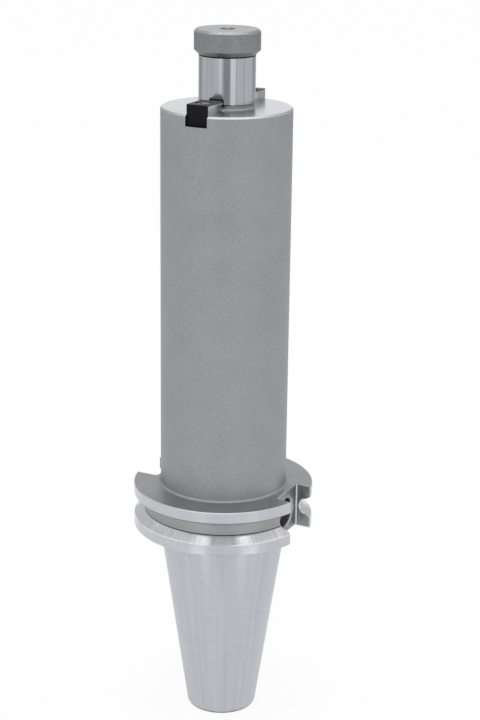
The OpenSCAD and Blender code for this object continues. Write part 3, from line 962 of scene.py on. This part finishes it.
def makeKeyScrew(name, size, side, seat, middle):
    head, neck, shank = size["headDiameter"] / 2, size["threadRoot"] / 2, size["threadDiameter"] / 2
    top, tip, over = seat + size["headHeight"], seat - size["length"], size["overlap"]
    bm = spinSection([(0, seat - over), (neck, seat - over), (neck, seat),
                      (head, seat), (head, top), (0, top)], size["steps"])
    bevelRings(bm, [(head, top, size["rim"], 2)])
    screw = pieceFrom(bm, name, ["screwSide", "screwTop", "softShade"])
    outer = shank + size["join"]
    ends = [(0, tip - over), (neck - size["pointInset"], tip), (outer, tip + size["pointRise"]),
            (outer, seat + over), (0, seat + over)]
    addThread(screw, size, tip, seat - size["threadEnd"], ends)
    cutSocket(screw, size, top)
    rolled, faced, softShade = range(3)  # in the order of its finishes

    def finishOff(bm):
        for part in bm.faces:
            radius, z = part.calc_center_median().xy.length / mm, part.calc_center_median().z / mm
            inside = radius < size["hexFlats"] * 0.72 and z > seat + 0.5
            bevelled = 0.3 < part.normal.z < 0.9
            # the socket and the part below the seat take the soft shade finish as painted shade
            part.material_index = softShade if inside or z < seat - 0.02 else faced if bevelled else rolled
        bmesh.ops.translate(bm, vec=(0, side * middle * mm, 0), verts=bm.verts)

    reshape(screw, finishOff)
    smoothOver(screw)
    return screw


for word, side in (("front", -1), ("rear", 1)):
    floor = holder["noseReach"] - holder["seatSink"]
    driveKey = makeDriveKey(word + "DriveKey", key, side, floor, holder["noseReach"])
    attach(driveKey, "root")
    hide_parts(word + "_drive_key")
    screw = makeKeyScrew(word + "KeyScrew", keyScrew, side, key["boreFloor"], holder["keyMiddle"])
    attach(screw, "root")
    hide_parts(word + "_key_screw")
print("drive keys and their screws made")


# Floor, soft lamps, and the cards, grey or glowing, that only the mirroring steel sees
studio = {
    "floorSize": 8000.0, "floorColour": (0.88, 0.88, 0.88), "floorWhiteShare": 0.9,
    "roomLight": 0.95, "roomColour": (1.0, 1.0, 1.0),
    "lamps": {
        "topLamp": {"turn": 0, "lift": 88, "distance": 1100, "width": 1200, "height": 1200, "power": 2.9},
        "leftLamp": {"turn": -1, "lift": 5, "distance": 1100, "width": 200, "height": 1100, "power": 0.3},
        "rightLamp": {"turn": 51, "lift": 5, "distance": 1100, "width": 360, "height": 1100, "power": 0.6},
    },
    "cards": {
        "pilotCard": {"turn": 25, "distance": 200, "width": 96, "low": 113, "high": 150, "shade": 0.5},
        "leftCard": {"turn": 170, "distance": 600, "width": 520, "low": 40, "high": 800, "shade": 0.6},
        "rightCard": {"turn": 244, "distance": 600, "width": 520, "low": 40, "high": 800, "shade": 0.6},
        "grooveCard": {"turn": 28, "distance": 107, "width": 72, "low": -62, "high": -39, "shade": 0.6},
        "leftGlow": {"turn": -2, "distance": 113, "width": 34, "low": -62, "high": -39, "glow": 1.6},
        "rightGlow": {"turn": 58, "distance": 113, "width": 34, "low": -62, "high": -39, "glow": 1.6},
    },
    "lampAim": 60.0, "cardShade": 0.9,
}


# 1 for what the camera and mirrors see, 0 for the light that falls on the holder
def rayMask(tree):
    rays = tree.nodes.new("ShaderNodeLightPath").outputs
    seen = mathNode(tree, "MAXIMUM", rays["Is Camera Ray"], rays["Is Glossy Ray"])
    return mathNode(tree, "MAXIMUM", seen, rays["Is Transmission Ray"])


def addWorld(look):
    world = bpy.data.worlds.new("studioRoom")
    bpy.context.scene.world = world
    world.use_nodes = True
    tree = world.node_tree
    sky = tree.nodes["Background"].inputs
    sky["Color"].default_value = (*look["roomColour"], 1)
    light = rangeNode(tree, rayMask(tree), low=0.0, high=1.0, newLow=look["roomLight"], newHigh=1.0)
    connect(tree, light, sky["Strength"])


def addFloor(look):
    bm = bmesh.new()
    bmesh.ops.create_grid(bm, x_segments=1, y_segments=1, size=look["floorSize"] / 2 * mm,
                          matrix=Matrix.Translation((0, 0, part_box("holder_body")[0].z)))
    floor = pieceFrom(bm, "studioFloor")
    material, tree, shader = newFinish("paleFloor")
    shader["Base Color"].default_value = (*look["floorColour"], 1)
    shader["Roughness"].default_value = 0.9
    shader["Specular IOR Level"].default_value = 0.0
    glow = tree.nodes.new("ShaderNodeEmission")
    blend = tree.nodes.new("ShaderNodeMixShader")
    connect(tree, mathNode(tree, "MULTIPLY", rayMask(tree), look["floorWhiteShare"]), blend.inputs[0])
    connect(tree, tree.nodes["Principled BSDF"].outputs[0], blend.inputs[1])
    connect(tree, glow.outputs[0], blend.inputs[2])
    connect(tree, blend.outputs[0], tree.nodes["Material Output"].inputs["Surface"])
    floor.data.materials.append(material)


def addLamp(name, look):
    lampData = bpy.data.lights.new(name, "AREA")
    lampData.shape = "RECTANGLE"
    lampData.size, lampData.size_y = look["width"] * mm, look["height"] * mm
    lampData.energy = look["power"]
    lamp = bpy.data.objects.new(name, lampData)
    bpy.context.scene.collection.objects.link(lamp)
    turn, lift = math.radians(look["turn"]), math.radians(look["lift"])
    away = Vector((math.sin(turn) * math.cos(lift), -math.cos(turn) * math.cos(lift), math.sin(lift)))
    aim = Vector((0, 0, studio["lampAim"] * mm))
    lamp.matrix_world = (Matrix.Translation(aim + away * look["distance"] * mm)
                         @ away.to_track_quat("Z", "Y").to_matrix().to_4x4())
    lamp.visible_camera = False


def addCard(name, look):
    turn = math.radians(look["turn"])
    middle = Vector((math.sin(turn) * look["distance"], -math.cos(turn) * look["distance"],
                     (look["low"] + look["high"]) / 2)) * mm
    upright = Matrix.Rotation(turn, 4, "Z") @ Matrix.Rotation(math.pi / 2, 4, "X")
    scale = Matrix.Diagonal((look["width"] * mm, (look["high"] - look["low"]) * mm, 1, 1))
    bm = bmesh.new()
    bmesh.ops.create_grid(bm, x_segments=1, y_segments=1, size=0.5,
                          matrix=Matrix.Translation(middle) @ upright @ scale)
    card = pieceFrom(bm, name)
    material, tree, shader = newFinish(name)
    shader["Base Color"].default_value = (look.get("shade", studio["cardShade"]),) * 3 + (1,)
    shader["Roughness"].default_value = 1.0
    shader["Emission Color"].default_value = (1, 1, 1, 1)
    shader["Emission Strength"].default_value = look.get("glow", 0.0)
    card.data.materials.append(material)
    card.visible_camera = False
    card.visible_diffuse = False
    card.visible_shadow = False


addWorld(studio)
addFloor(studio)
for lampName, lampLook in studio["lamps"].items():
    addLamp(lampName, lampLook)
for cardName, cardLook in studio["cards"].items():
    addCard(cardName, cardLook)
bpy.context.scene.view_settings.view_transform = "Standard"
print("studio lit")
